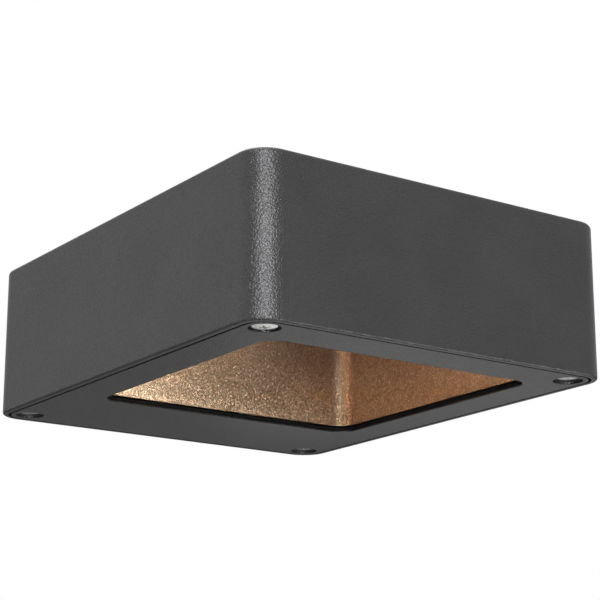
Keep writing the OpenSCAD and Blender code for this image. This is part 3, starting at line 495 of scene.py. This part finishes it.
# Frame screws: four stainless pan heads that hold the bottom frame, sunk in counterbores at its corners.
# Each sits on a black silicone washer cup, which keeps it from falling out, and whose collar fills the ring
# round its head with black.
dress_all(["frame_screws"], bright_metal("stainless_steel", colour(208, 208, 207), 0.3))
# The washers are black, so the ring round each screw head shows black.
dress_all(["frame_screw_washers"], silicone)

# Floor: a plain pale surface well below the light, which hangs as it does on a wall.
# It is a single face that looks solid from above only.
FLOOR_Z = -0.42
FLOOR_HALF = 8.0
FLOOR_DARK = colour(226, 226, 224)
FLOOR_LIGHT = colour(232, 232, 230)
FLOOR_CLOUD_SIZE = 0.3
FLOOR_ROUGHNESS = 0.9


def pale_floor():
    """A plain pale floor, which a view from under it passes through."""
    material, tree, shader = finish("pale_floor")
    shade = blend(tree, grain(tree, FLOOR_CLOUD_SIZE), FLOOR_DARK, FLOOR_LIGHT)
    tree.links.new(shade, shader.inputs["Base Color"])
    shader.inputs["Roughness"].default_value = FLOOR_ROUGHNESS
    from_under = node(tree, "NewGeometry").outputs["Backfacing"]
    clear = node(tree, "BsdfTransparent")
    one_sided = node(tree, "MixShader", {0: from_under, 1: shader.outputs[0], 2: clear.outputs[0]})
    tree.links.new(one_sided.outputs[0], tree.nodes["Material Output"].inputs["Surface"])
    return material


floor_mesh = bpy.data.meshes.new("floor")
floor_corners = [(x * FLOOR_HALF, y * FLOOR_HALF, FLOOR_Z) for x, y in ((-1, -1), (1, -1), (1, 1), (-1, 1))]
floor_mesh.from_pydata(floor_corners, [], [(0, 1, 2, 3)])
floor_mesh.materials.append(pale_floor())
floor = bpy.data.objects.new("floor", floor_mesh)
bpy.context.scene.collection.objects.link(floor)

# Light: a plain bright studio, white all round where it is seen or mirrored, with soft lamps.
# The tall lamp behind the camera gives the bright line on the near corner.
# The low ones light the underside, and three small ones light only the tray behind the glass.
WORLD_LIGHT = 0.05
WORLD_SEEN = 1.0
LAMP_AIM = (cad_low + cad_high) / 2
FRONT_BAR = Vector((0.0, -0.2, frame_low.z))
FLOOR_SPOT = Vector((0.6, 0.5, FLOOR_Z))
TRAY_CORNER = Vector((-0.066, -0.06, -0.02))
TRAY_BACK = Vector((0.0, -0.06, -0.02))

world = bpy.data.worlds.new("studio")
bpy.context.scene.world = world
world.use_nodes = True
sky = world.node_tree
sky.nodes.clear()
path = node(sky, "LightPath")
seen = result(sky, "MAXIMUM", path.outputs["Is Camera Ray"], path.outputs["Is Transmission Ray"])
seen = result(sky, "MAXIMUM", seen, path.outputs["Is Glossy Ray"])
strength = node(sky, "MapRange", {"Value": seen, "To Min": WORLD_LIGHT, "To Max": WORLD_SEEN})
white = {"Color": (1.0, 1.0, 1.0, 1.0), "Strength": strength.outputs["Result"]}
sky_light = node(sky, "Background", white)
sky_out = node(sky, "OutputWorld")
sky.links.new(sky_light.outputs[0], sky_out.inputs["Surface"])


def soft_lamp(name, place, width, height, power, aim=LAMP_AIM, beam=180, only=()):
    """A rectangular lamp that the camera doesn't see. It can be shuttered, and light some pieces only."""
    data = bpy.data.lights.new(name, "AREA")
    data.shape = "RECTANGLE"
    data.size = width
    data.size_y = height
    data.energy = power
    data.spread = math.radians(beam)
    lamp = bpy.data.objects.new(name, data)
    lamp.location = place
    lamp.rotation_euler = (aim - Vector(place)).to_track_quat("-Z", "Y").to_euler()
    lamp.visible_camera = False
    bpy.context.scene.collection.objects.link(lamp)
    if only:
        lit = bpy.data.collections.new(name + "_lights")
        for piece in only:
            lit.objects.link(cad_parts[piece])
        lamp.light_linking.receiver_collection = lit


soft_lamp("key_lamp", (-0.76, -1.22, 0.34), width=0.42, height=0.9, power=14.0)
soft_lamp("top_lamp", (-0.1, 0.0, 0.9), width=0.8, height=0.8, power=6.0)
soft_lamp("left_lamp", (-1.05, 0.55, 0.2), width=0.6, height=0.6, power=1.0)
soft_lamp("back_lamp", (-0.75, 0.65, -0.27), width=0.4, height=0.22, power=0.35)
soft_lamp("near_lamp", (-0.5, -1.15, -0.3), width=0.3, height=0.18, power=6.0)
soft_lamp("under_lamp", (0.3, -0.45, -0.41), width=0.35, height=0.35, power=2.5)
soft_lamp("floor_lamp", (0.6, 0.5, 0.4), width=0.4, height=0.4, power=3.6, aim=FLOOR_SPOT)
soft_lamp("front_lamp", (0.145, -0.03, -0.12), width=0.2, height=0.1, power=0.0115, aim=FRONT_BAR, beam=90)
soft_lamp("side_lamp", (0.6, -0.18, -0.12), width=0.2, height=0.14, power=1.8,
          aim=TRAY_CORNER, beam=30, only=["reflector"])
soft_lamp("tray_lamp", (-0.03, -0.16, -0.06), width=0.03, height=0.03, power=0.09,
          aim=TRAY_CORNER, beam=85, only=["reflector"])
soft_lamp("wall_lamp", (0.25, -0.8, -0.25), width=0.25, height=0.2, power=0.42,
          aim=TRAY_BACK, beam=60, only=["reflector"])

# Camera: below the light and on its open side, looking up at the near corner.
# Its heading and pitch are in degrees, and its lens is long, so the edges hardly converge.
CAMERA_PLACE = (-0.4380, -0.7466, -0.2034)
CAMERA_HEADING = 34.949
CAMERA_PITCH = 15.53
SENSOR_WIDTH = 36.0
FOCAL_PIXELS = 1779.8
PICTURE_PIXELS = 600
NEAREST = 0.01
FARTHEST = 30.0
camera_data = bpy.data.cameras.new("camera")
camera_data.sensor_width = SENSOR_WIDTH
camera_data.lens = FOCAL_PIXELS / PICTURE_PIXELS * SENSOR_WIDTH
camera_data.clip_start = NEAREST
camera_data.clip_end = FARTHEST
camera = bpy.data.objects.new("camera", camera_data)
camera.location = CAMERA_PLACE
camera.rotation_euler = (math.radians(90 + CAMERA_PITCH), 0.0, -math.radians(CAMERA_HEADING))
bpy.context.scene.collection.objects.link(camera)
bpy.context.scene.camera = camera
bpy.context.scene.view_settings.view_transform = "Standard"
